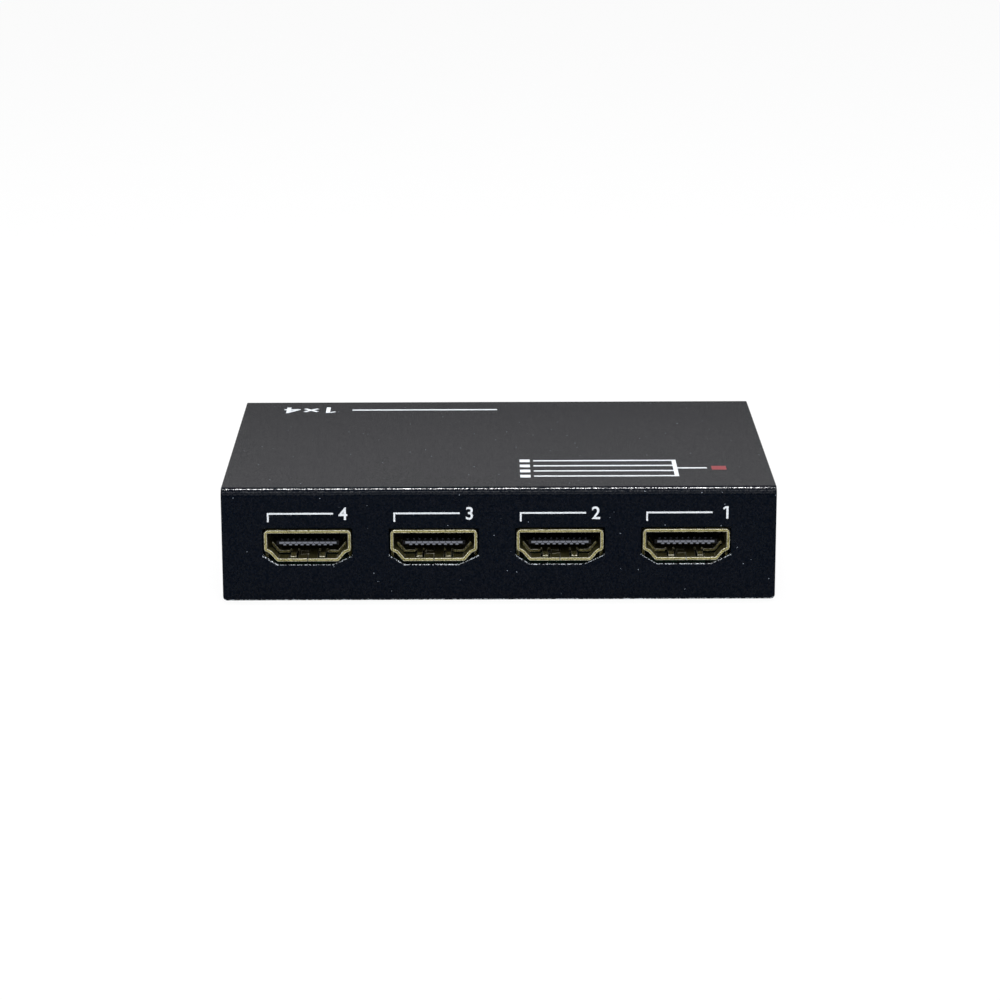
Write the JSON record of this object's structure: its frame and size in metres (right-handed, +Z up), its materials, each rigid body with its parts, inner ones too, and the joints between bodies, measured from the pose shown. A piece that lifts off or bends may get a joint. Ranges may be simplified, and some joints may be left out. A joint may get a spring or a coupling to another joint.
{
  "type": "video splitter",
  "caption": "Small flat metal box that feeds one video input to several outputs: a row of D-shaped sockets in front, input socket and power jack behind.",
  "frame": {"origin": "under the middle of the case, on the surface it rests on", "axes": "+X to the right as seen from the output sockets, +Y from the output sockets to the rear panel, +Z up"},
  "size_m": [0.096, 0.067, 0.0202],
  "materials": {
    "case_black": "matt black powder coat with a fine orange-peel grain",
    "zinc_steel": "zinc-plated steel",
    "board_green": "green solder mask on glass fibre",
    "gold_plate": "pale gold flash on stamped steel",
    "insulator_black": "black moulded nylon",
    "contact_metal": "pale plated contacts",
    "jack_black": "black moulded plastic",
    "nickel_brass": "nickel-plated brass",
    "light_red": "tinted clear resin",
    "tinned_metal": "tinned leads",
    "chip_black": "fine-grained moulding compound",
    "ferrite_grey": "sintered ferrite",
    "can_aluminium": "drawn aluminium",
    "base_black": "black moulded plastic",
    "crystal_lid": "plated lid on ceramic",
    "fuse_body": "coated fuse body",
    "ceramic_tan": "fired ceramic"
  },
  "bodies": {
    "root": {"top_cover": "case_black", "bottom_chassis": "case_black", "case_screws": "zinc_steel", "board_spacers": "zinc_steel", "cover_pillars": "zinc_steel", "circuit_board": "board_green", "output_1_shell": "gold_plate", "output_2_shell": "gold_plate", "output_3_shell": "gold_plate", "output_4_shell": "gold_plate", "input_shell": "gold_plate", "output_1_insulator": "insulator_black", "output_2_insulator": "insulator_black", "output_3_insulator": "insulator_black", "output_4_insulator": "insulator_black", "input_insulator": "insulator_black", "output_1_contacts": "contact_metal", "output_2_contacts": "contact_metal", "output_3_contacts": "contact_metal", "output_4_contacts": "contact_metal", "input_contacts": "contact_metal", "power_jack_housing": "jack_black", "light_holder": "jack_black", "power_jack_pin": "nickel_brass", "power_jack_spring": "nickel_brass", "power_light": "light_red", "light_wires": "tinned_metal", "chip_leads": "tinned_metal", "splitter_chip": "chip_black", "controller_chip": "chip_black", "memory_chips": "chip_black", "voltage_regulators": "chip_black", "surge_arrays": "chip_black", "chip_resistors": "chip_black", "input_diode": "chip_black", "power_coil": "ferrite_grey", "electrolytic_cans": "can_aluminium", "electrolytic_bases": "base_black", "clock_crystal": "crystal_lid", "input_fuse": "fuse_body", "chip_capacitors": "ceramic_tan"}
  },
  "joints": []
}
